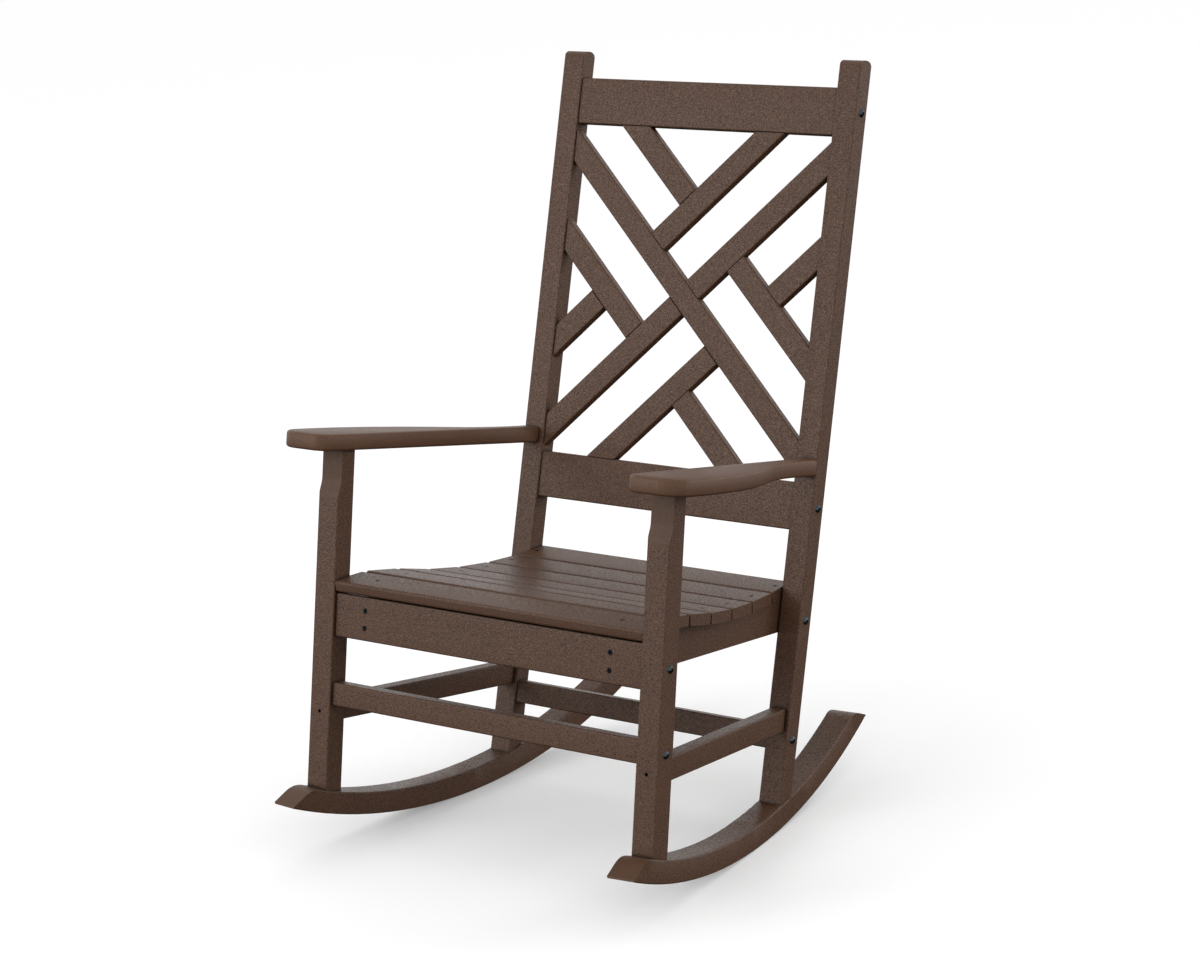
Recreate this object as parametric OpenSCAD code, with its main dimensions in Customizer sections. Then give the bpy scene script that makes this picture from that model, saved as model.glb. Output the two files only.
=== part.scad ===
// Porch rocking chair in recycled plastic lumber, with a woven lattice back.
// X runs across the chair, the sitter faces -Y, and Z is up from the floor.
// The chair is drawn with its rockers' lowest point where the rocker's sizes put it, with Y
// measured from the front face of the front posts. Then it is tipped back to where it rests.

/* [Posts] */
// Width of each post across the chair
post_w = 38.6; // [32:0.2:46]
// Depth of the front posts
front_post_d = 35.6; // [30:0.2:42]
// Depth of the rear posts
rear_post_d = 30.4; // [26:0.2:38]
// Clear width between the two front posts
front_spread = 571.6; // [520:0.2:640]
// Clear width between the two rear posts
rear_spread = 479.6; // [440:0.2:540]
// Lean of the front posts, in degrees
front_rake = 4.7; // [2:0.1:7]
// Lean of the rear posts, in degrees
rear_rake = 10.24; // [7:0.01:13]
// Distance at floor level from the front posts' face to the rear posts' face
post_reach = 379.5; // [350:0.5:420]
// Length of the rear posts along their front face, from floor level
rear_post_top = 1170; // [1145:1:1230]
// Radius on the top corners of the rear posts
post_top_r = 13; // [4:0.5:15]
// Height along the front post at which its face steps back under the arm
relief_at = 504; // [450:1:540]
// Depth of that step
relief_d = 6.5; // [3:0.5:12]
// Length of the curved ramp at the foot of the step
relief_ramp = 33; // [12:1:45]

/* [Rockers] */
// Radius of the underside of the rockers
rocker_r = 853; // [780:1:950]
// Height of the rocker boards
rocker_t = 34.6; // [30:0.2:42]
// Width of the rocker boards
rocker_w = 44.4; // [42:0.2:52]
// Distance of the lowest point behind the front posts' face
rocker_low_y = 225.5; // [190:0.5:260]
// Reach of the rockers in front of their lowest point, measured level
rocker_front = 284.5; // [255:0.5:310]
// Reach of the rockers behind their lowest point, measured level
rocker_rear = 448.5; // [420:0.5:490]
// Radius of the shoulder where each end of a rocker turns down
nose_r = 40; // [20:1:60]
// Slope of each end below its shoulder, in degrees
nose_slope = 49; // [35:1:60]
// Height of the blunt tip at each end
rocker_tip = 3; // [3:0.5:12]
// How far the empty chair tips back on its rockers, in degrees
lean = 7; // [0:0.5:11]

/* [Back] */
// Height of the lower back rail above floor level, along the posts
lower_rail_at = 462.5; // [440:0.5:480]
// Height of the top back rail above floor level, along the posts
top_rail_at = 1055.5; // [1020:0.5:1065]
// Width of the two back rails
back_rail_w = 72; // [60:0.5:76]
// Thickness of rails, apron and stretchers
board_t = 24; // [20:0.2:26]
// Width of the lattice slats
lattice_w = 38.1; // [32:0.1:46]
// Thickness of the lattice slats
lattice_t = 15; // [12:0.5:18]
// Angle of the lattice slats to the rails, in degrees
lattice_angle = 43.3; // [40:0.1:46]
// Number of lattice spacings that fill the height of the back's opening
lattice_rows = 5.06; // [4.8:0.02:5.4]

/* [Seat] */
// Front edge of the seat behind the front posts' face
seat_front = 32; // [28:0.5:38]
// Spacing of the seat slats
seat_pitch = 64; // [60:0.2:68]
// Width of the seat slats
seat_slat_w = 61; // [54:0.5:62]
// Thickness of the seat slats
seat_slat_t = 17; // [14:0.5:22]
// Radius on the long edges of the seat slats
slat_edge_r = 4; // [2:0.5:6]
// Height of the top of the side rails at the bottom of the seat's dip
dip_z = 347; // [330:0.5:365]
// Distance of the dip behind the front posts' face
dip_y = 343; // [320:1:370]
// Radius of the dip
dip_r = 947; // [850:1:1200]
// Radius of the crown under the sitter's knees
crown_r = 350; // [300:5:500]
// Where the crown runs into the dip, behind the front posts' face
crown_y = 163; // [150:1:180]
// Height of the underside of the apron
apron_foot_z = 298.2; // [285:0.2:310]
// Height of the underside of the side rails
rail_foot_z = 302; // [285:0.2:310]

/* [Arms] */
// Height of the arms' top above the floor, at the front posts' face line
arm_z = 607.5; // [580:0.5:640]
// Slope of the arms down to the rear, in degrees
arm_tilt = 5.35; // [3:0.05:7]
// Thickness of the arms
arm_t = 25; // [20:0.2:30]
// Overhang of the arms in front of the front posts
arm_front_lip = 50; // [40:0.5:75]
// Overhang of the arms outside the front posts
arm_side_lip = 44.2; // [35:0.2:60]
// Overhang of the arms inside the front posts
arm_inner_lip = 9; // [4:0.5:16]
// Distance of the arms' inner edge from the rear posts' inner face
arm_rear_inset = 6.7; // [2:0.1:12]
// Radius of the outer front corner of the arms
arm_outer_r = 36; // [24:1:42]
// Radius of the inner front corner of the arms
arm_inner_r = 21; // [12:1:28]
// Radius on the arms' edges
arm_edge_r = 5; // [2:0.5:8]
// Straight length of the arms' outer edge behind its front corner
arm_side_run = 6; // [0:1:20]
// Straight length of the arms' outer edge in front of the rear posts
arm_rear_run = 48; // [20:1:80]

/* [Stretchers] */
// Height of the front and rear stretcher boards
stretcher_w = 35; // [30:0.5:42]
// Centre of the front stretcher along the front posts
front_stretcher_at = 211.5; // [195:0.5:225]
// Centre of the rear stretcher along the rear posts
rear_stretcher_at = 150; // [135:0.5:165]
// Centre of the side stretchers at the front posts
side_stretcher_z = 182.6; // [172:0.2:192]
// Fall of the side stretchers to the rear
side_stretcher_fall = 7; // [0:0.5:14]

/* [Fasteners] */
// Radius of the bolts' shanks
bolt_r = 3.2; // [2.5:0.1:4]
// Length of the bolts under the head
bolt_len = 62; // [55:1:68]
// Radius of the bolts' button heads
bolt_head_r = 6.2; // [5:0.1:8]
// Height of the bolts' button heads
bolt_head_h = 3.8; // [2.5:0.1:5]
// Radius of the screws' shanks
screw_r = 2.1; // [1.5:0.1:2.6]
// Length of the screws through the seat slats
slat_screw_len = 36; // [28:1:48]
// Length of the screws through the apron
apron_screw_len = 46; // [38:1:56]
// Distance of the upper screws from the apron's top
apron_screw_drop = 21; // [14:0.5:28]
// Spacing of the two screws at each end of the apron
apron_screw_pitch = 26; // [16:0.5:34]
// Radius of the screws' heads
screw_head_r = 4.1; // [3.4:0.1:5]
// Depth of the deep screw holes in posts and rockers
deep_hole = 12; // [8:0.5:16]
// Radius of the deep screw holes
deep_hole_r = 2.9; // [2.7:0.1:4]
// Length of the screws in the deep holes
deep_screw_len = 62; // [52:1:70]
// Radius of the hidden dowels
dowel_r = 4; // [3:0.1:5]
// Length of the hidden dowels
dowel_len = 30; // [24:1:36]

/* [Fits] */
// Radius on the sawn edges of posts and boards
edge_r = 2.5; // [1:0.25:4]
// Seam between a board's end and what it butts on
seam = 0.3; // [0.1:0.05:0.5]
// Clearance round a fastener in its hole
hole_gap = 0.15; // [0.05:0.05:0.3]

/* [Hidden] */
LUMBER = "#5f4b40";
STEEL = "#23262b";
SEAT_SLATS = 7;

// Each lattice slat: slope (1 rises to the right, -1 falls), row counted across
// from the middle, then the side and the row of the crossing slat it ends on.
LATTICE = [
  [-1, 0, 0, 0],
  [-1, 1, 1, 1],
  [-1, -1, 1, 0],
  [-1, 1, -1, 0],
  [-1, -1, -1, -1],
  [1, 1, 1, 0],
  [1, 0, 1, 0],
  [1, 0, -1, 0],
  [1, -1, -1, 0],
  [1, 1, -1, -1],
  [1, -1, 1, 1]
];

$fn = 48;
far = 2000;
spare = 1;
half_front = front_spread / 2;
half_rear = rear_spread / 2;

// The line through the middles of a front post and a rear post, seen from above
front_mid_x = half_front + post_w / 2;
rear_mid_x = half_rear + post_w / 2;
splay = atan((front_mid_x - rear_mid_x) / post_reach);
function mid_x(y) = front_mid_x - (y - front_post_d / 2) * tan(splay);

// Height of the rockers' underside under a post
rear_foot_y = post_reach + rear_post_d / 2;
function rocker_foot_z(y) =
  rocker_r - sqrt(pow(rocker_r, 2) - pow((y - rocker_low_y) / cos(splay), 2));

// Faces of the posts at a height above the floor
function front_face_y(z) = z * tan(front_rake);
function rear_face_y(z) = post_reach + z * tan(rear_rake);

// Boards across the chair lie in the middle of the posts' depth
front_set = (front_post_d - board_t) / 2;
rear_set = (rear_post_d - board_t) / 2;

// Underside of the seat: a dip and, in front of it, a crown, both round
crown_a = asin((dip_y - crown_y) / dip_r);
crown_mid_y = crown_y - crown_r * sin(crown_a);
crown_mid_z = dip_z + dip_r * (1 - cos(crown_a)) - crown_r * cos(crown_a);
function seat_curve(y) = y > crown_y
  ? dip_z + dip_r - sqrt(dip_r * dip_r - pow(y - dip_y, 2))
  : crown_mid_z + sqrt(crown_r * crown_r - pow(y - crown_mid_y, 2));
function joint_y(i) = seat_front + i * seat_pitch;
seat_joints = [for (i = [0 : SEAT_SLATS]) [joint_y(i), seat_curve(joint_y(i))]];
function seat_under(y) = lookup(y, seat_joints);

// The side rails' ends meet the apron and stop short of the posts' back
rail_x = half_rear - board_t / 2;
rail_top_guess = seat_under(joint_y(1));
function rail_front_y(z) = front_face_y(z) + (front_set + board_t) / cos(front_rake) + seam;
function rail_rear_y(z) = rear_face_y(z) + (rear_post_d - rear_set) / cos(rear_rake);
apron_top = (seat_under(seat_front) - seam) / cos(front_rake);
apron_foot = apron_foot_z / cos(front_rake);

lattice_y = rear_set;
back_open_at = lower_rail_at + back_rail_w;
back_open_h = top_rail_at - back_open_at;
back_mid = back_open_at + back_open_h / 2;
lattice_pitch = back_open_h / lattice_rows;

// Places of the bolts along the posts
rear_bolt_at = [
  rear_stretcher_at,
  (rail_foot_z + seat_under(dip_y)) / 2 / cos(rear_rake),
  lower_rail_at + back_rail_w / 2,
  top_rail_at + back_rail_w / 2
];
front_bolt_at = [front_stretcher_at, (apron_top + apron_foot) / 2];
apron_screw_at = [apron_top - apron_screw_drop, apron_top - apron_screw_drop - apron_screw_pitch];

// Points on an arc about a centre
function arc(c, r, a0, a1, n) =
  [for (i = [0 : n]) c + r * [cos(a0 + (a1 - a0) * i / n), sin(a0 + (a1 - a0) * i / n)]];

// Board section with eased edges, its corner at the origin
module board_section(w, d, r = edge_r) {
  translate([r, 0]) square([w - 2 * r, d]);
  translate([0, r]) square([w, d - 2 * r]);
  for (x = [r, w - r], y = [r, d - r]) translate([x, y]) circle(r);
}

// Board along X: d deep along Y and w high along Z
module board_x(length, d, w, r = edge_r) {
  translate([-length / 2, 0, 0]) rotate([90, 0, 90])
    linear_extrude(length) board_section(d, w, r);
}

// Side view drawn as Y, Z and given a width along X
module side_plate(width) {
  rotate([90, 0, 90]) linear_extrude(width) children();
}

// The rockers are splayed, so when the chair tips back each stands on its lower edge
edge_in = rocker_w / 2 - edge_r;
side_tip = asin(sin(splay) * sin(lean));
floor_z = rocker_r - (rocker_r - edge_r) * cos(side_tip) - edge_in * sin(side_tip) - edge_r;

// The front noses and the rear posts' tops reach furthest, once the chair is tipped back
nose_a = asin(rocker_front / rocker_r);
nose_out = sin(nose_a) * cos(splay) * cos(lean) + cos(nose_a) * sin(lean);
nose_across = sin(splay) * cos(lean);
nose_y = rocker_low_y - (rocker_r - edge_r) * nose_out - edge_in * nose_across
  - edge_r * norm([nose_out, nose_across]);
top_y = rear_post_d - post_top_r;
top_z = rear_post_top - post_top_r;
top_run = post_reach + top_y * cos(rear_rake) + top_z * sin(rear_rake) - rocker_low_y;
top_rise = top_z * cos(rear_rake) - top_y * sin(rear_rake) - rocker_r;
post_out_y = rocker_low_y + top_run * cos(lean) + top_rise * sin(lean) + post_top_r;

// The origin lies on the floor, in the middle of the chair's length and width
module placed() {
  translate([0, rocker_low_y - (nose_y + post_out_y) / 2, rocker_r - floor_z]) rotate([-lean, 0, 0])
    translate([0, -rocker_low_y, -rocker_r]) children();
}

// Frames of the front posts, the back, the arms and a rocker
module front_frame() {
  rotate([-front_rake, 0, 0]) children();
}

module back_frame() {
  translate([0, post_reach, 0]) rotate([-rear_rake, 0, 0]) children();
}

module arm_frame() {
  translate([0, 0, arm_z]) rotate([-arm_tilt, 0, 0]) children();
}

module rocker_frame() {
  translate([mid_x(rocker_low_y), rocker_low_y, 0]) rotate([0, 0, splay]) children();
}

module left() {
  mirror([1, 0, 0]) children();
}

module both_sides() {
  children();
  left() children();
}

// Room above the rockers' top, and below the arms
module above_rocker() {
  rocker_frame() translate([0, 0, rocker_r]) rotate([0, 90, 0])
    cylinder(r = rocker_r - rocker_t, h = front_spread, center = true, $fn = 360);
}

module below_arm() {
  arm_frame() translate([-far / 2, -far / 2, -arm_t - far]) cube(far);
}

// Fasteners point down, with the underside of the head at the origin
module bolt() {
  dome_r = (pow(bolt_head_r, 2) + pow(bolt_head_h, 2)) / 2 / bolt_head_h;
  difference() {
    intersection() {
      cylinder(r = bolt_head_r, h = bolt_head_h);
      translate([0, 0, bolt_head_h - dome_r]) sphere(dome_r);
    }
    translate([0, 0, bolt_head_h / 3]) cylinder(d = bolt_head_r, h = far, $fn = 6);
  }
  translate([0, 0, -bolt_len]) cylinder(r = bolt_r, h = bolt_len);
}

module bolt_hole() {
  translate([0, 0, -bolt_len - spare]) cylinder(r = bolt_r + hole_gap, h = bolt_len + 2 * spare);
}

// Countersunk screw, its head level with the origin
module screw(length) {
  head_h = screw_head_r - screw_r;
  difference() {
    union() {
      translate([0, 0, -head_h]) cylinder(r1 = screw_r, r2 = screw_head_r, h = head_h);
      translate([0, 0, -length]) cylinder(r = screw_r, h = length - head_h);
    }
    translate([0, 0, -head_h * 0.6]) cylinder(d = screw_r * 2, h = head_h, $fn = 6);
  }
}

module screw_hole(length) {
  head_h = screw_head_r - screw_r;
  translate([0, 0, -head_h - hole_gap])
    cylinder(r1 = screw_r + hole_gap, r2 = screw_head_r + spare, h = head_h + spare);
  translate([0, 0, -length - spare]) cylinder(r = screw_r + hole_gap, h = length);
}

// Trim-head screw at the bottom of a deep hole
module deep_screw() {
  head_r = deep_hole_r - hole_gap;
  translate([0, 0, -deep_hole]) {
    difference() {
      cylinder(r = head_r, h = head_r);
      translate([0, 0, head_r * 0.4]) cylinder(r = head_r * 0.6, h = head_r, $fn = 6);
    }
    translate([0, 0, -deep_screw_len]) cylinder(r = screw_r, h = deep_screw_len);
  }
}

module deep_screw_hole() {
  translate([0, 0, -deep_hole]) cylinder(r = deep_hole_r, h = 2 * deep_hole);
  translate([0, 0, -deep_hole - deep_screw_len - spare])
    cylinder(r = screw_r + hole_gap, h = deep_screw_len + 2 * spare);
}

// Places of the fasteners on the right side
module rear_bolt_places() {
  back_frame() for (z = rear_bolt_at)
    translate([half_rear + post_w, rear_post_d / 2, z]) rotate([0, 90, 0]) children();
}

module front_bolt_places() {
  front_frame() for (z = front_bolt_at)
    translate([half_front + post_w, front_post_d / 2, z]) rotate([0, 90, 0]) children();
}

module apron_screw_places() {
  front_frame() for (z = apron_screw_at)
    translate([rail_x, front_set, z]) rotate([90, 0, 0]) children();
}

module stretcher_screw_places() {
  front_frame() translate([front_mid_x, 0, side_stretcher_z / cos(front_rake)])
    rotate([90, 0, 0]) children();
  back_frame()
    translate([rear_mid_x, rear_post_d, (side_stretcher_z - side_stretcher_fall) / cos(rear_rake)])
      rotate([-90, 0, 0]) children();
}

module rocker_screw_places() {
  front_frame()
    translate([front_mid_x, front_post_d / 2, rocker_foot_z(front_post_d / 2) / cos(front_rake)])
      rotate([180, 0, 0]) children();
  back_frame()
    translate([rear_mid_x, rear_post_d / 2, rocker_foot_z(rear_foot_y) / cos(rear_rake)])
      rotate([180, 0, 0]) children();
}

module arm_screw_places() {
  back_frame() translate([
      half_rear + (post_w + arm_rear_inset) / 2,
      rear_post_d,
      (arm_z - arm_t / 2 - post_reach * tan(arm_tilt)) / (cos(rear_rake) + sin(rear_rake) * tan(arm_tilt))
    ]) rotate([-90, 0, 0]) children();
}

module arm_dowel_places() {
  y = front_face_y(arm_z - arm_t) + relief_d + (front_post_d - relief_d) / 2;
  translate([front_mid_x, y, 0]) arm_frame_at(y) children();
}

module arm_frame_at(y) {
  translate([0, 0, arm_z - y * tan(arm_tilt)]) rotate([-arm_tilt, 0, 0])
    translate([0, 0, -arm_t]) children();
}

// Front of the seat slat, then the seat slat's own frame along its chord
module seat_slat_frame(i) {
  from = seat_joints[i - 1];
  to = seat_joints[i];
  translate([0, from[0], from[1]]) rotate([atan2(to[1] - from[1], to[0] - from[0]), 0, 0])
    translate([0, (norm(to - from) - seat_slat_w) / 2, 0]) children();
}

module seat_screw_places(i) {
  seat_slat_frame(i) translate([rail_x, seat_slat_w / 2, seat_slat_t]) children();
}

// Direction along a lattice slat, and the way across it, as X and height
function along(dir) = [cos(lattice_angle), dir * sin(lattice_angle)];
function across(dir) = [-dir * sin(lattice_angle), cos(lattice_angle)];

// Run of a lattice slat's middle line to the crossing slat or the frame it ends on
function run_to_row(s, row, edge) =
  (row * lattice_pitch + edge - s[1] * lattice_pitch * across(s[0]) * across(-s[0]))
  / (along(s[0]) * across(-s[0]));
function run_to_frame(s, sense) =
  let (a = along(s[0]), start = s[1] * lattice_pitch * across(s[0]))
  sense * min(
    (half_rear - sense * start[0] * sign(a[0])) / abs(a[0]),
    (back_open_h / 2 - sense * start[1] * sign(a[1])) / abs(a[1])
  );
// The slat's two ends: on the frame both ways, or on a crossing slat one way
function lattice_ends(s) = s[2] == 0
  ? [run_to_frame(s, -1), run_to_frame(s, 1)]
  : [run_to_frame(s, -s[0] * s[2]), run_to_row(s, s[3], s[2] * lattice_w / 2)];

module lattice_frame(s) {
  translate([0, lattice_y, back_mid]) rotate([0, -s[0] * lattice_angle, 0])
    translate([0, 0, s[1] * lattice_pitch]) children();
}

module lattice_dowel_places(s) {
  for (run = lattice_ends(s)) lattice_frame(s)
    translate([run - dowel_len / 2, lattice_t / 2, 0]) rotate([0, 90, 0]) children();
}

module dowel() {
  cylinder(r = dowel_r, h = dowel_len);
}

module dowel_hole() {
  translate([0, 0, -spare / 2]) cylinder(r = dowel_r + hole_gap, h = dowel_len + spare);
}

// Posts
module front_post() {
  color(LUMBER) difference() {
    intersection() {
      front_frame() translate([half_front, 0, 0])
        linear_extrude(arm_z + front_post_d) board_section(post_w, front_post_d);
      above_rocker();
      below_arm();
    }
    front_frame() translate([half_front - spare, 0, 0]) side_plate(post_w + 2 * spare)
      polygon([
        [-relief_d, relief_at],
        for (t = [0 : 0.1 : 1]) [relief_d * (1 - cos(180 * t)) / 2, relief_at + relief_ramp * t],
        [relief_d, far],
        [-relief_d, far]
      ]);
    front_bolt_places() bolt_hole();
    stretcher_screw_places() deep_screw_hole();
    rocker_screw_places() deep_screw_hole();
    arm_dowel_places() translate([0, 0, -dowel_len / 2]) dowel_hole();
  }
}

module rear_post() {
  color(LUMBER) difference() {
    intersection() {
      back_frame() translate([half_rear, 0, 0])
        linear_extrude(rear_post_top) board_section(post_w, rear_post_d);
      back_frame() translate([half_rear - spare, 0, 0]) side_plate(post_w + 2 * spare) {
        square([rear_post_d, rear_post_top - post_top_r]);
        translate([post_top_r, 0]) square([rear_post_d - 2 * post_top_r, rear_post_top]);
        for (y = [post_top_r, rear_post_d - post_top_r])
          translate([y, rear_post_top - post_top_r]) circle(post_top_r);
      }
      above_rocker();
    }
    rear_bolt_places() bolt_hole();
    stretcher_screw_places() deep_screw_hole();
    rocker_screw_places() deep_screw_hole();
    arm_screw_places() deep_screw_hole();
    for (s = LATTICE) back_frame() lattice_dowel_places(s) dowel_hole();
  }
}

// Rocker: a ring segment whose ends turn down in a round shoulder and a straight slope.
// The cut is given by its run from where the nose starts, and its depth under the top.
nose_run = nose_r * tan(nose_slope / 2) + (rocker_t - rocker_tip) / tan(nose_slope);

module nose_cut(sense, reach) {
  end_a = asin(reach / rocker_r);
  top_r = rocker_r - rocker_t;
  shoulder = [for (t = [0 : 0.1 : 0.9]) nose_r * [sin(nose_slope * t), 1 - cos(nose_slope * t)]];
  slope = [
    nose_r * [sin(nose_slope), 1 - cos(nose_slope)],
    [nose_run, rocker_t - rocker_tip],
    [nose_run + rocker_t, rocker_t - rocker_tip],
    [nose_run + rocker_t, -rocker_t],
    [0, -rocker_t]
  ];
  cut = [for (p = concat(shoulder, slope)) let (a = end_a + (p[0] - nose_run) / top_r * 180 / PI)
    (top_r + p[1]) * [cos(a), sin(a)]];
  mirror([0, sense < 0 ? 1 : 0, 0]) translate([0, 0, -rocker_w])
    linear_extrude(2 * rocker_w) polygon(cut);
}

module rocker() {
  front_a = asin(rocker_front / rocker_r);
  rear_a = asin(rocker_rear / rocker_r);
  color(LUMBER) difference() {
    rocker_frame() translate([0, 0, rocker_r]) rotate([0, 90, 0]) difference() {
      rotate([0, 0, -front_a]) rotate_extrude(angle = front_a + rear_a, $fn = 360)
        translate([rocker_r - rocker_t, -rocker_w / 2]) board_section(rocker_t, rocker_w);
      nose_cut(-1, rocker_front);
      nose_cut(1, rocker_rear);
    }
    rocker_screw_places() deep_screw_hole();
  }
}

// Arm: flat board with a straight inner edge and an outer edge that sweeps in
module arm_outline() {
  front_y = front_face_y(arm_z) - arm_front_lip;
  rear_y = rear_face_y(arm_z) + arm_t;
  in_front = half_front - arm_inner_lip;
  in_rear = half_rear + arm_rear_inset;
  out_front = half_front + post_w + arm_side_lip;
  out_rear = half_rear + post_w;
  sweep_from = front_y + arm_outer_r + arm_side_run;
  sweep_to = rear_face_y(arm_z) - arm_rear_run;
  sweep_mid = sweep_from + (sweep_to - sweep_from) * 0.69;
  sweep_a = 2 * atan((out_front - out_rear) / (sweep_to - sweep_from));
  convex_r = (sweep_mid - sweep_from) / sin(sweep_a);
  concave_r = (sweep_to - sweep_mid) / sin(sweep_a);
  polygon(concat(
    arc([in_front + arm_inner_r, front_y + arm_inner_r], arm_inner_r, 180, 270, 8),
    arc([out_front - arm_outer_r, front_y + arm_outer_r], arm_outer_r, 270, 360, 12),
    arc([out_front - convex_r, sweep_from], convex_r, 0, sweep_a, 12),
    arc([out_rear + concave_r, sweep_to], concave_r, 180 + sweep_a, 180, 8),
    [[out_rear, rear_y], [in_rear, rear_y]]
  ));
}

module arm() {
  color(LUMBER) difference() {
    arm_frame() translate([0, 0, arm_edge_r - arm_t]) minkowski() {
      linear_extrude(arm_t - 2 * arm_edge_r) offset(delta = -arm_edge_r) arm_outline();
      sphere(arm_edge_r, $fn = 16);
    }
    back_frame() translate([0, -seam, -far / 2]) cube(far);
    arm_dowel_places() translate([0, 0, -dowel_len / 2]) dowel_hole();
    arm_screw_places() deep_screw_hole();
  }
}

// Boards between the posts
module back_rail(at) {
  color(LUMBER) difference() {
    back_frame() translate([0, rear_set, at]) board_x(rear_spread, board_t, back_rail_w);
    both_sides() rear_bolt_places() bolt_hole();
    for (s = LATTICE) back_frame() lattice_dowel_places(s) dowel_hole();
  }
}

module top_rail() {
  back_rail(top_rail_at);
}

module lower_rail() {
  back_rail(lower_rail_at);
}

module front_apron() {
  color(LUMBER) difference() {
    front_frame() translate([0, front_set, apron_foot])
      board_x(front_spread, board_t, apron_top - apron_foot);
    both_sides() {
      front_bolt_places() bolt_hole();
      apron_screw_places() screw_hole(apron_screw_len);
    }
  }
}

module front_stretcher() {
  color(LUMBER) difference() {
    front_frame() translate([0, front_set, front_stretcher_at - stretcher_w / 2])
      board_x(front_spread, board_t, stretcher_w);
    both_sides() front_bolt_places() bolt_hole();
  }
}

module rear_stretcher() {
  color(LUMBER) difference() {
    back_frame() translate([0, rear_set, rear_stretcher_at - stretcher_w / 2])
      board_x(rear_spread, board_t, stretcher_w);
    both_sides() rear_bolt_places() bolt_hole();
  }
}

module side_stretcher() {
  span = rear_face_y(side_stretcher_z) - front_face_y(side_stretcher_z);
  color(LUMBER) difference() {
    translate([front_mid_x, front_face_y(side_stretcher_z) + front_post_d / 2, side_stretcher_z])
      rotate([-atan(side_stretcher_fall / span), 0, splay])
        translate([-board_t / 2, -span / 2, -stretcher_w / 2])
          rotate([-90, -90, 0]) linear_extrude(2 * span) board_section(stretcher_w, board_t);
    front_frame() translate([-far / 2, front_post_d + seam - far, -far / 2]) cube(far);
    back_frame() translate([-far / 2, -seam, -far / 2]) cube(far);
    stretcher_screw_places() deep_screw_hole();
  }
}

// Seat
module seat_rail() {
  top_y = rail_front_y(rail_top_guess);
  rear_y = rail_rear_y(seat_under(joint_y(SEAT_SLATS)));
  inner = [for (p = seat_joints) if (p[0] > top_y && p[0] < rear_y) p];
  color(LUMBER) difference() {
    translate([half_rear - board_t, 0, 0]) side_plate(board_t)
      polygon(concat(
        [[rail_rear_y(rail_foot_z), rail_foot_z], [rail_front_y(rail_foot_z), rail_foot_z]],
        [[top_y, seat_under(top_y)]],
        inner,
        [[rear_y, seat_under(rear_y)]]
      ));
    rear_bolt_places() bolt_hole();
    apron_screw_places() screw_hole(apron_screw_len);
    for (i = [1 : SEAT_SLATS]) seat_screw_places(i) screw_hole(slat_screw_len);
  }
}

// The seat seen from above fills the space between the posts
module seat_plan() {
  half_f = half_front - seam;
  half_r = half_rear - seam;
  front_back_y = front_face_y(rail_top_guess) + front_post_d / cos(front_rake);
  rear_front_y = rear_face_y(rail_top_guess);
  polygon([
    [-half_f, 0],
    [half_f, 0],
    [half_f, front_back_y],
    [half_r, rear_front_y],
    [half_r, far],
    [-half_r, far],
    [-half_r, rear_front_y],
    [-half_f, front_back_y]
  ]);
}

module seat_slat(i) {
  color(LUMBER) difference() {
    intersection() {
      seat_slat_frame(i) board_x(front_spread + 2 * post_w, seat_slat_w, seat_slat_t, slat_edge_r);
      linear_extrude(far) seat_plan();
    }
    both_sides() seat_screw_places(i) screw_hole(slat_screw_len);
  }
}

// Lattice
module lattice_slat(i) {
  s = LATTICE[i - 1];
  edge = s[3] * lattice_pitch + s[2] * (lattice_w / 2 + seam);
  color(LUMBER) back_frame() difference() {
    intersection() {
      lattice_frame(s) translate([0, 0, -lattice_w / 2]) board_x(far, lattice_t, lattice_w);
      translate([seam - half_rear, 0, back_open_at + seam])
        cube([rear_spread - 2 * seam, far, back_open_h - 2 * seam]);
    }
    if (s[2] != 0) lattice_frame([-s[0], 0])
      translate([-far / 2, -spare, edge - (s[2] > 0 ? far : 0)]) cube([far, lattice_t + 2 * spare, far]);
    for (t = LATTICE) lattice_dowel_places(t) dowel_hole();
  }
}

// Fasteners
module rear_post_bolts() {
  color(STEEL) both_sides() rear_bolt_places() bolt();
}

module front_post_bolts() {
  color(STEEL) both_sides() front_bolt_places() bolt();
}

module seat_screws() {
  color(STEEL) both_sides() for (i = [1 : SEAT_SLATS]) seat_screw_places(i) screw(slat_screw_len);
}

module apron_screws() {
  color(STEEL) both_sides() apron_screw_places() screw(apron_screw_len);
}

module stretcher_screws() {
  color(STEEL) both_sides() stretcher_screw_places() deep_screw();
}

module rocker_screws() {
  color(STEEL) both_sides() rocker_screw_places() deep_screw();
}

module arm_screws() {
  color(STEEL) both_sides() arm_screw_places() deep_screw();
}

module arm_dowels() {
  color(STEEL) both_sides() arm_dowel_places() translate([0, 0, -dowel_len / 2]) dowel();
}

module lattice_dowels() {
  color(STEEL) for (s = LATTICE) back_frame() lattice_dowel_places(s) dowel();
}

placed() left() front_post();  // front_post_l
placed() front_post();  // front_post_r
placed() left() rear_post();  // rear_post_l
placed() rear_post();  // rear_post_r
placed() left() rocker();  // rocker_l
placed() rocker();  // rocker_r
placed() left() arm();  // arm_l
placed() arm();  // arm_r
placed() top_rail();
placed() lower_rail();
for (i = [1 : len(LATTICE)])
  placed() lattice_slat(i);
for (i = [1 : SEAT_SLATS])
  placed() seat_slat(i);
placed() left() seat_rail();  // seat_rail_l
placed() seat_rail();  // seat_rail_r
placed() front_apron();
placed() front_stretcher();
placed() rear_stretcher();
placed() left() side_stretcher();  // side_stretcher_l
placed() side_stretcher();  // side_stretcher_r
placed() rear_post_bolts();
placed() front_post_bolts();
placed() seat_screws();
placed() apron_screws();
placed() stretcher_screws();
placed() rocker_screws();
placed() arm_screws();
placed() arm_dowels();
placed() lattice_dowels();
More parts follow.
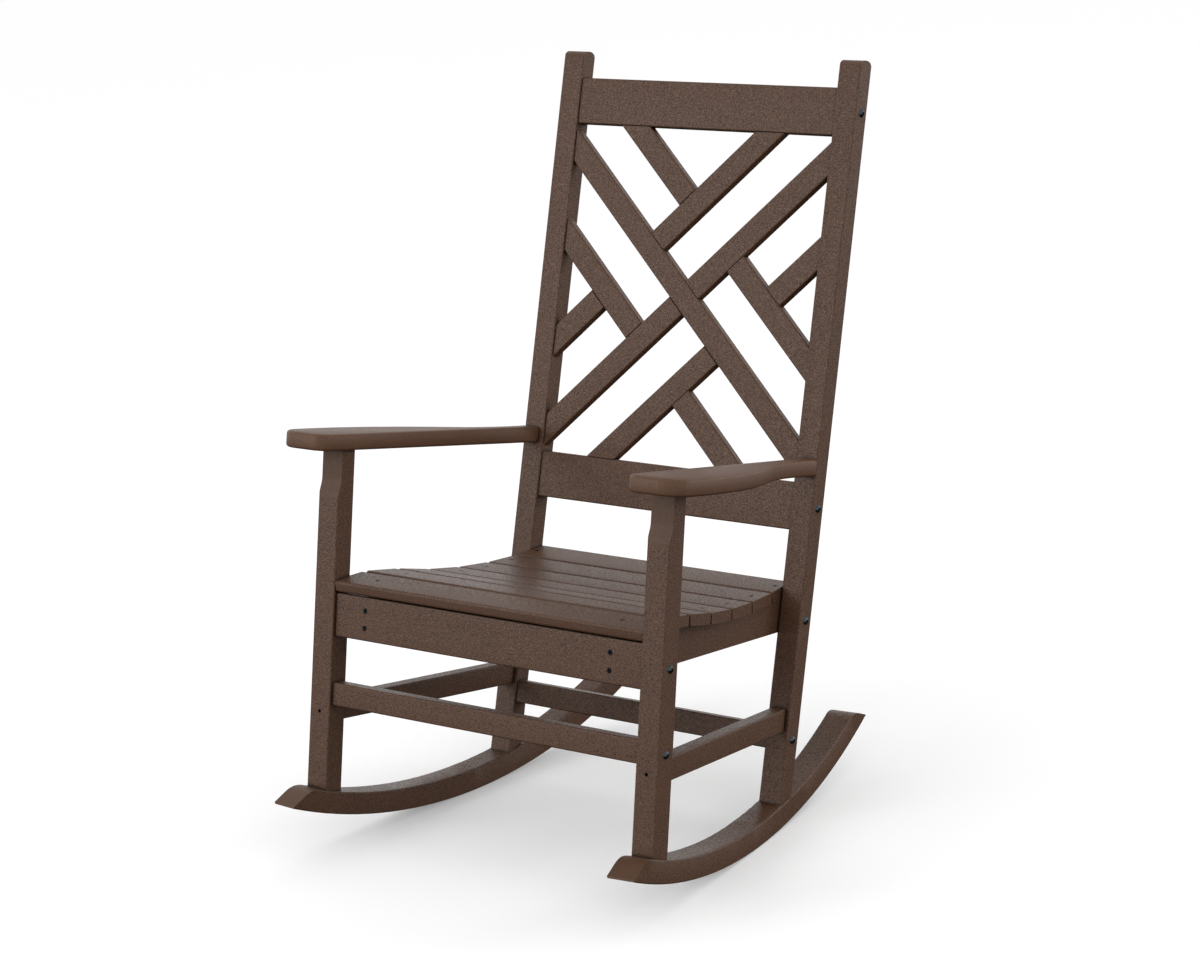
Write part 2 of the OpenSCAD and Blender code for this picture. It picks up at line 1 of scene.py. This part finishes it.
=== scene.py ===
import math
import bmesh
import bpy
from mathutils import Matrix, Vector

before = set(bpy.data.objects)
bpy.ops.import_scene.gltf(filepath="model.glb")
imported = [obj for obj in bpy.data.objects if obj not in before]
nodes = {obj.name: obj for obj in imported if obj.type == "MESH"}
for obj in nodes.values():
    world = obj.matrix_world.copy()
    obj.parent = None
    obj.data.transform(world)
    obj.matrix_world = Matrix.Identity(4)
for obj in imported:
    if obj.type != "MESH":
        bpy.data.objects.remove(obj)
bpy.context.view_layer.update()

scene = bpy.context.scene


def hexColor(code):  # sRGB hex to the linear values that Cycles wants
    channels = [int(code[i:i + 2], 16) / 255 for i in (1, 3, 5)]
    linear = [c / 12.92 if c <= 0.04045 else ((c + 0.055) / 1.055) ** 2.4 for c in channels]
    return (*linear, 1.0)


def addNode(tree, kind, settings=None, inputs=None):
    # Inputs go by name, or by number on a Mix node, whose sockets share their names
    new = tree.nodes.new(kind)
    for key, value in (settings or {}).items():
        setattr(new, key, value)
    for key, value in (inputs or {}).items():
        if isinstance(value, bpy.types.NodeSocket):
            tree.links.new(value, new.inputs[key])
        else:
            new.inputs[key].default_value = value
    return new


# Camera: it leans with the chair, which stands tipped back on its rockers

camera = {
    "place": (2.9255, -3.70829, 1.8268),
    "azimuth": 38.0837,
    "elevation": 15.4215,
    "roll": -4.3759,
    "lens": 98.25,
    "sensor": 36,
    "reach": 60,
}

camData = bpy.data.cameras.new("camera")
camData.sensor_width = camera["sensor"]
camData.lens = camera["lens"]
camData.clip_end = camera["reach"]
camObject = bpy.data.objects.new("camera", camData)
scene.collection.objects.link(camObject)
camObject.location = camera["place"]
turn = Matrix.Rotation(math.radians(camera["azimuth"]), 3, "Z")
tilt = Matrix.Rotation(math.radians(90 - camera["elevation"]), 3, "X")
roll = Matrix.Rotation(math.radians(camera["roll"]), 3, "Z")
camObject.rotation_euler = (turn @ tilt @ roll).to_euler()
scene.camera = camObject
print("camera placed")


# Studio: a bright surround, a white floor and three softboxes

studio = {
    "below": 0.02,  # strength of the surround under the horizon, round it and overhead
    "horizon": 1.18,
    "zenith": 0.87,
    "horizonBand": (-0.35, -0.05),  # heights on a unit sphere, where the strength changes
    "zenithBand": (0.3, 0.7),
    "floorColor": "#e7e7e7",
    "floorGlow": 0.225,  # a faint light of its own, so that the floor comes out white
    "floorSize": 40.0,
    "floorDrop": 0.0005,  # keeps it just under the rockers
    "aimAt": (0, 0, 0.5),
    "softboxes": [  # name, place, diameter and power
        ("frontLeftSoftbox", (-2.8, -4.2, 2.2), 2.0, 56.0),
        ("frontHighSoftbox", (-0.5, -3.2, 3.6), 2.0, 11.0),
        ("rightBackSoftbox", (4.2, 3.2, 1.6), 2.5, 67.0),
    ],
}

scene.view_settings.view_transform = "Standard"
world = bpy.data.worlds.new("softStudio")
scene.world = world
world.use_nodes = True
sky = world.node_tree
surround = sky.nodes["Background"]
surround.inputs["Color"].default_value = hexColor("#ffffff")
way = addNode(sky, "ShaderNodeTexCoord")
height = addNode(sky, "ShaderNodeSeparateXYZ", None, {"Vector": way.outputs["Generated"]})
bandFrom, bandTo = studio["horizonBand"]
ground = addNode(sky, "ShaderNodeMapRange", {"interpolation_type": "SMOOTHSTEP"}, {
    "Value": height.outputs["Z"], "From Min": bandFrom, "From Max": bandTo,
    "To Min": studio["below"], "To Max": studio["horizon"]})
bandFrom, bandTo = studio["zenithBand"]
glow = addNode(sky, "ShaderNodeMapRange", {"interpolation_type": "SMOOTHSTEP"}, {
    "Value": height.outputs["Z"], "From Min": bandFrom, "From Max": bandTo,
    "To Min": ground.outputs["Result"], "To Max": studio["zenith"]})
sky.links.new(glow.outputs["Result"], surround.inputs["Strength"])

floorMesh = bmesh.new()
bmesh.ops.create_grid(floorMesh, x_segments=1, y_segments=1, size=studio["floorSize"] / 2)
floorData = bpy.data.meshes.new("floor")
floorMesh.to_mesh(floorData)
floorMesh.free()
floor = bpy.data.objects.new("floor", floorData)
scene.collection.objects.link(floor)
floor.location = (0, 0, -studio["floorDrop"])
floor.visible_diffuse = False  # the surround's own lower half lights the chair from below
floor.visible_glossy = False
floorPaint = bpy.data.materials.new("palePaintedFloor")  # matt paint: it only takes the shadow
floorPaint.use_nodes = True
floorShader = floorPaint.node_tree.nodes["Principled BSDF"]
floorShader.inputs["Base Color"].default_value = hexColor(studio["floorColor"])
floorShader.inputs["Roughness"].default_value = 1.0
floorShader.inputs["Specular IOR Level"].default_value = 0.0
floorShader.inputs["Emission Color"].default_value = hexColor("#ffffff")
floorShader.inputs["Emission Strength"].default_value = studio["floorGlow"]
floorData.materials.append(floorPaint)

for name, place, size, power in studio["softboxes"]:
    light = bpy.data.lights.new(name, "AREA")
    light.shape = "DISK"
    light.size = size
    light.energy = power
    lamp = bpy.data.objects.new(name, light)
    scene.collection.objects.link(lamp)
    lamp.location = place
    aim = Vector(studio["aimAt"]) - Vector(place)
    lamp.rotation_euler = aim.to_track_quat("-Z", "Y").to_euler()
print("studio set")


# Plastic lumber, brown all through, whose soft sheen greys where light grazes it

sawnLumber = {  # HDPE board as it is extruded: a matt skin with a fine leathery speckle
    "dark": "#3c281c",
    "light": "#5e4230",
    "grainMm": 1.8,
    "cloudMm": 60.0,
    "cloudShare": 0.06,
    "roughness": (0.3, 0.6),
    "bumpMm": 0.55,
}
routedLumber = {  # the same board where it is planed or routed: warmer and hardly speckled
    "dark": "#4a3324",
    "light": "#553b2a",
    "grainMm": 2.2,
    "cloudMm": 60.0,
    "cloudShare": 0.3,
    "roughness": (0.48, 0.54),
    "bumpMm": 0.06,
}
armLumber = {  # planed on all sides and eased by hand: the smoothest and palest of the three
    "dark": "#523929",
    "light": "#5f4230",
    "grainMm": 2.2,
    "cloudMm": 80.0,
    "cloudShare": 0.3,
    "roughness": (0.46, 0.54),
    "bumpMm": 0.08,
}
lumberSkin = {  # what the three have in common
    "grainDetail": 1.0,
    "cloudDetail": 2.0,
    "spread": (0.36, 0.64),  # the part of the noise that runs from dark to light
    "ior": 1.35,  # under the usual 1.5, for the weak sheen of a waxy skin
}
# Painted shade: the boards' colour is darkened where they meet, in place of the shadow that
# falls in the seams
paintedSeamShade = {  # shadow that gathers where two boards meet
    "color": "#150d09",
    "reachMm": 5.5,
    "samples": 8,
    "openness": (0.42, 0.97),  # open share of the surroundings, from full shadow to none
}


def makeLumber(name, look):
    # The real grain is about 1.5 mm, too fine to show in the render, and is drawn coarser here
    paint = bpy.data.materials.new(name)
    paint.use_nodes = True
    tree = paint.node_tree
    shader = tree.nodes["Principled BSDF"]
    place = addNode(tree, "ShaderNodeTexCoord")
    grain = addNode(tree, "ShaderNodeTexNoise", None, {
        "Vector": place.outputs["Object"], "Scale": 1000 / look["grainMm"],
        "Detail": lumberSkin["grainDetail"]})
    cloud = addNode(tree, "ShaderNodeTexNoise", None, {
        "Vector": place.outputs["Object"], "Scale": 1000 / look["cloudMm"],
        "Detail": lumberSkin["cloudDetail"]})
    blend = addNode(tree, "ShaderNodeMix", {"data_type": "FLOAT"}, {
        0: look["cloudShare"], 2: grain.outputs["Fac"], 3: cloud.outputs["Fac"]})
    low, high = lumberSkin["spread"]
    spread = addNode(tree, "ShaderNodeMapRange", None, {
        "Value": blend.outputs[0], "From Min": low, "From Max": high})
    color = addNode(tree, "ShaderNodeMix", {"data_type": "RGBA"}, {
        0: spread.outputs["Result"], 6: hexColor(look["dark"]), 7: hexColor(look["light"])})
    # Painted shade: the colour is pulled towards the dark seam colour wherever ambient
    # occlusion finds other surfaces close by
    corner = addNode(tree, "ShaderNodeAmbientOcclusion", {"samples": paintedSeamShade["samples"]}, {
        "Distance": paintedSeamShade["reachMm"] / 1000})
    inShadow, inLight = paintedSeamShade["openness"]
    openness = addNode(tree, "ShaderNodeMapRange", None, {
        "Value": corner.outputs["AO"], "From Min": inShadow, "From Max": inLight})
    shaded = addNode(tree, "ShaderNodeMix", {"data_type": "RGBA"}, {
        0: openness.outputs["Result"], 6: hexColor(paintedSeamShade["color"]), 7: color.outputs[2]})
    tree.links.new(shaded.outputs[2], shader.inputs["Base Color"])
    smooth, rough = look["roughness"]
    shine = addNode(tree, "ShaderNodeMapRange", None, {
        "Value": grain.outputs["Fac"], "From Min": low, "From Max": high,
        "To Min": rough, "To Max": smooth})
    tree.links.new(shine.outputs["Result"], shader.inputs["Roughness"])
    bump = addNode(tree, "ShaderNodeBump", None, {
        "Height": grain.outputs["Fac"], "Distance": look["bumpMm"] / 1000})
    tree.links.new(bump.outputs["Normal"], shader.inputs["Normal"])
    shader.inputs["IOR"].default_value = lumberSkin["ior"]
    return paint


sawnPaint = makeLumber("sawnPolyLumber", sawnLumber)
routedPaint = makeLumber("routedPolyLumber", routedLumber)
armPaint = makeLumber("planedPolyLumber", armLumber)


# Steel under a thin coat

boltSteel = {  # powder-coated socket bolts, whose heads catch the light round a dark socket
    "dark": "#343b40",
    "light": "#4b5459",
    "roughness": (0.2, 0.35),
    "metallic": 0.9,
    "specular": 0.5,
}
screwSteel = {  # phosphated heads in the apron and the stretchers: small, matt and black
    "dark": "#07090b",
    "light": "#14181c",
    "roughness": (0.45, 0.6),
    "metallic": 0.5,
    "specular": 0.15,
}
seatScrewSteel = {  # coated brown to go with the lumber, and as matt
    "dark": "#120c09",
    "light": "#241812",
    "roughness": (0.45, 0.6),
    "metallic": 0.5,
    "specular": 0.5,
}
steelCoat = {  # a fine peel that breaks up the highlight, drawn coarser than the real one
    "peelMm": 0.7,
    "detail": 2.0,
    "bumpMm": 0.03,
    "bumpStrength": 0.5,
}


def makeSteel(name, look):
    paint = bpy.data.materials.new(name)
    paint.use_nodes = True
    tree = paint.node_tree
    shader = tree.nodes["Principled BSDF"]
    place = addNode(tree, "ShaderNodeTexCoord")
    peel = addNode(tree, "ShaderNodeTexNoise", None, {
        "Vector": place.outputs["Object"], "Scale": 1000 / steelCoat["peelMm"],
        "Detail": steelCoat["detail"]})
    color = addNode(tree, "ShaderNodeMix", {"data_type": "RGBA"}, {
        0: peel.outputs["Fac"], 6: hexColor(look["dark"]), 7: hexColor(look["light"])})
    tree.links.new(color.outputs[2], shader.inputs["Base Color"])
    smooth, rough = look["roughness"]
    shine = addNode(tree, "ShaderNodeMapRange", None, {
        "Value": peel.outputs["Fac"], "To Min": smooth, "To Max": rough})
    tree.links.new(shine.outputs["Result"], shader.inputs["Roughness"])
    bump = addNode(tree, "ShaderNodeBump", None, {
        "Height": peel.outputs["Fac"], "Distance": steelCoat["bumpMm"] / 1000,
        "Strength": steelCoat["bumpStrength"]})
    tree.links.new(bump.outputs["Normal"], shader.inputs["Normal"])
    shader.inputs["Metallic"].default_value = look["metallic"]
    shader.inputs["Specular IOR Level"].default_value = look["specular"]
    return paint


boltPaint = makeSteel("blackPowderCoatedSteel", boltSteel)
screwPaint = makeSteel("blackPhosphatedSteel", screwSteel)
seatScrewPaint = makeSteel("brownCoatedSteel", seatScrewSteel)
print("materials made")


# Finishes of the CAD nodes

finishes = [
    (sawnPaint, ["front_post_l", "front_post_r", "rear_post_l", "rear_post_r"]),
    (sawnPaint, ["rocker_l", "rocker_r", "seat_rail_l", "seat_rail_r"]),
    (sawnPaint, ["side_stretcher_l", "side_stretcher_r", "front_stretcher", "rear_stretcher"]),
    (sawnPaint, ["top_rail", "lower_rail", "front_apron"]),
    (sawnPaint, [f"seat_slat_{i}" for i in range(1, 8)]),
    (sawnPaint, [f"lattice_slat_{i}" for i in range(1, 12)]),
    (armPaint, ["arm_l", "arm_r", "arm_dowels", "lattice_dowels"]),
    (boltPaint, ["rear_post_bolts", "front_post_bolts"]),
    (screwPaint, ["apron_screws", "stretcher_screws"]),
    (seatScrewPaint, ["seat_screws", "rocker_screws", "arm_screws"]),
]

routedFaces = {  # what was routed after sawing: places in metres, and parts of a face's normal
    "postStepZ": 0.52,  # the front of the front posts above this height
    "postFacing": 0.75,
    "frontNoseY": -0.345,  # the top of the rockers beyond these two places
    "rearNoseY": 0.3,
    "noseFacing": 0.3,
    "noseSide": 0.5,
}
creases = {  # CAD faces are loose triangles: they are welded, then parted at the sharp edges
    "weldMm": 0.01,
    "splitDegrees": 32,
}


def isRouted(node, face):
    if node.startswith("front_post"):
        forward = face.normal.y < -routedFaces["postFacing"]
        return forward and face.center.z > routedFaces["postStepZ"]
    if node.startswith("rocker"):
        upward = face.normal.z > routedFaces["noseFacing"]
        onSide = abs(face.normal.x) >= routedFaces["noseSide"]
        atFront = face.center.y < routedFaces["frontNoseY"]
        atRear = face.center.y > routedFaces["rearNoseY"]
        return upward and not onSide and (atFront or atRear)
    return False


def finishNode(node, paint):
    piece = nodes[node]
    piece.data.materials.clear()
    piece.data.materials.append(paint)
    if paint == sawnPaint:
        piece.data.materials.append(routedPaint)
        for face in piece.data.polygons:
            face.material_index = 1 if isRouted(node, face) else 0
    piece.data.shade_smooth()
    weld = piece.modifiers.new("weld", "WELD")
    weld.merge_threshold = creases["weldMm"] / 1000
    split = piece.modifiers.new("split", "EDGE_SPLIT")
    split.split_angle = math.radians(creases["splitDegrees"])


for paint, names in finishes:
    for node in names:
        finishNode(node, paint)
print("nodes finished")
